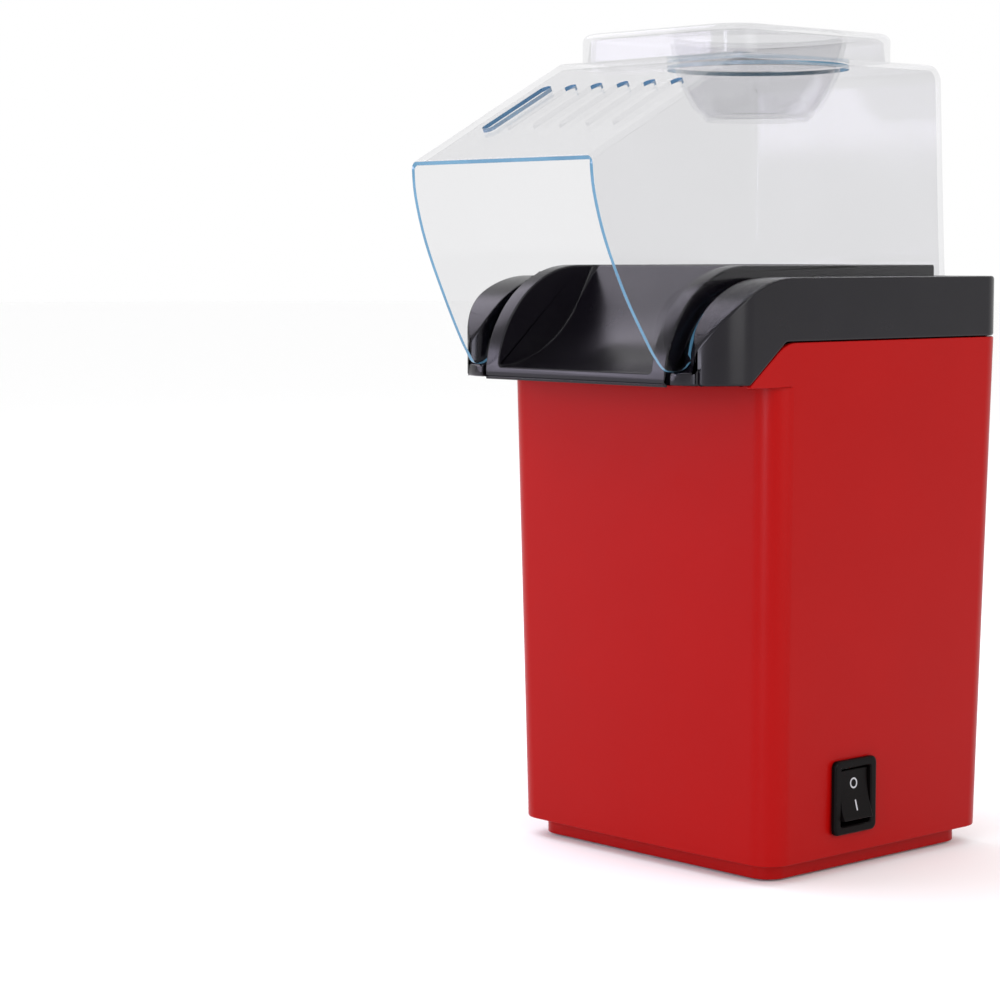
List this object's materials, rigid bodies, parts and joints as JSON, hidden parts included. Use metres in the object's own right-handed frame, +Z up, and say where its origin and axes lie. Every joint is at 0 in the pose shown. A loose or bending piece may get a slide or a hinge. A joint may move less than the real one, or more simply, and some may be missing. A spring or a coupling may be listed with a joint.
{
  "type": "popcorn maker",
  "caption": "Hot-air popcorn maker: red drafted housing, black collar with an open chute, clear slotted hood, lift-out measuring cup and a side rocker switch.",
  "frame": {"origin": "under the middle of the whole object, on the surface that its feet stand on", "axes": "+Z up; -Y is the front, where the chute and the hood's mouth are; the switch is on the +X side"},
  "size_m": [0.1356, 0.1886, 0.2964],
  "materials": {
    "red_plastic": "satin gloss moulded red",
    "black_plastic": "satin gloss moulded black",
    "clear_plastic": "clear polished",
    "switch_plastic": "satin black",
    "duct_plastic": "matte heat-resistant",
    "rubber": "matte",
    "aluminium": "spun, satin",
    "steel": "satin",
    "mica": "flecked board",
    "element_wire": "oxidised wire",
    "brass": "satin",
    "magnet": "matte ferrite",
    "circuit_board": "satin lacquer"
  },
  "bodies": {
    "housing": {"body_shell": "red_plastic", "base_plate": "red_plastic", "collar": "black_plastic", "switch_bezel": "switch_plastic", "switch_case": "switch_plastic", "cord_gland": "rubber", "popping_chamber": "aluminium", "chamber_ring": "duct_plastic", "air_duct": "steel", "mica_board_1": "mica", "mica_board_2": "mica", "heater_coil": "element_wire", "thermostat": "duct_plastic", "thermal_fuse": "steel", "fan_housing": "duct_plastic", "motor_can": "steel", "motor_end_cap": "duct_plastic", "bearing_top": "brass", "bearing_bottom": "brass", "rectifier_board": "circuit_board", "rubber_foot_1": "rubber", "base_screw_1": "steel", "housing_screw_1": "steel", "diode_1": "duct_plastic", "rubber_foot_2": "rubber", "base_screw_2": "steel", "housing_screw_2": "steel", "diode_2": "duct_plastic", "rubber_foot_3": "rubber", "base_screw_3": "steel", "housing_screw_3": "steel", "diode_3": "duct_plastic", "rubber_foot_4": "rubber", "base_screw_4": "steel", "housing_screw_4": "steel", "diode_4": "duct_plastic", "switch_terminal_1": "brass", "motor_screw_1": "steel", "field_magnet_1": "magnet", "brush_1": "magnet", "switch_terminal_2": "brass", "motor_screw_2": "steel", "field_magnet_2": "magnet", "brush_2": "magnet"},
    "fan": {"fan_impeller": "duct_plastic", "motor_shaft": "steel", "rotor_core": "steel", "commutator": "brass", "fan_nut": "brass"},
    "rocker": {"switch_rocker": "switch_plastic"},
    "hood": {"hood": "clear_plastic"},
    "cup": {"measuring_cup": "clear_plastic"}
  },
  "joints": [
    {"name": "fan_spin", "type": "hinge", "parent": "housing", "child": "fan", "pos_m": [-0.00051, 0.03207, 0.078], "axis": [0, 0, 1], "continuous": true},
    {"name": "rocker_tilt", "type": "hinge", "parent": "housing", "child": "rocker", "pos_m": [0.06189, 0.01507, 0.0275], "axis": [0, 1, 0], "range_deg": [0, 20]},
    {"name": "hood_lift", "type": "slide", "parent": "housing", "child": "hood", "axis": [0, 0, 1], "range_m": [0, 0.05]},
    {"name": "cup_lift", "type": "slide", "parent": "hood", "child": "cup", "axis": [0, 0, 1], "range_m": [0, 0.035]}
  ]
}
